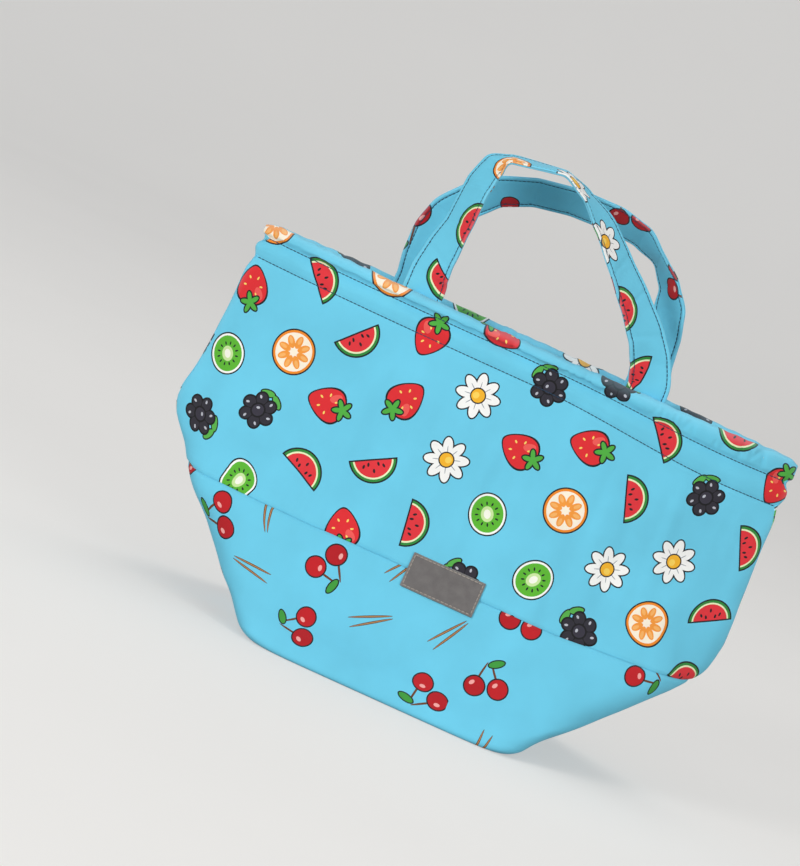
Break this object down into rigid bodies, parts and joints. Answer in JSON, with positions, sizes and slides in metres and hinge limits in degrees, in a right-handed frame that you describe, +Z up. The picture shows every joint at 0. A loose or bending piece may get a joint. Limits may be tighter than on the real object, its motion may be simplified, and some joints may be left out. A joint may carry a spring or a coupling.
{
  "type": "tote bag",
  "caption": "Padded fabric bucket tote with a boxed flat base, two-fabric walls, a stitched roll rim and two strap handles that fold outwards.",
  "frame": {"origin": "middle of the base on the surface that the bag stands on", "axes": "+Z up to the handles, +X along the rim to the right seen from the front, front faces -Y"},
  "size_m": [0.4218, 0.203, 0.3806],
  "materials": {
    "printed_cotton": "quilting cotton, sky-blue ground with a tossed print, plain weave, matt",
    "accent_cotton": "quilting cotton, sky-blue ground with a sparse print, plain weave, matt",
    "lining_cotton": "quilting cotton lining, plain weave, matt",
    "foam_interlining": "off-white soft foam interlining",
    "strap_webbing": "off-white cotton webbing",
    "grey_faux_leather": "grey grained faux leather, stitched all round"
  },
  "bodies": {
    "bag_body": {"front_upper_panel": "printed_cotton", "back_upper_panel": "printed_cotton", "front_lower_panel": "accent_cotton", "back_lower_panel": "accent_cotton", "front_foam": "foam_interlining", "back_foam": "foam_interlining", "front_lining": "lining_cotton", "back_lining": "lining_cotton", "inner_pocket": "lining_cotton", "label_patch": "grey_faux_leather", "front_handle_tail_left": "printed_cotton", "front_handle_tail_right": "printed_cotton", "back_handle_tail_left": "printed_cotton", "back_handle_tail_right": "printed_cotton"},
    "front_handle": {"front_handle_face": "printed_cotton", "front_handle_core": "strap_webbing", "front_handle_backing": "accent_cotton"},
    "back_handle": {"back_handle_face": "printed_cotton", "back_handle_core": "strap_webbing", "back_handle_backing": "accent_cotton"}
  },
  "joints": [
    {"name": "front_handle_swing", "type": "hinge", "parent": "bag_body", "child": "front_handle", "pos_m": [0, -0.02453, 0.255], "axis": [1, 0, 0], "range_deg": [-4, 150]},
    {"name": "back_handle_swing", "type": "hinge", "parent": "bag_body", "child": "back_handle", "pos_m": [0, 0.02453, 0.255], "axis": [-1, 0, 0], "range_deg": [-4, 150]}
  ]
}
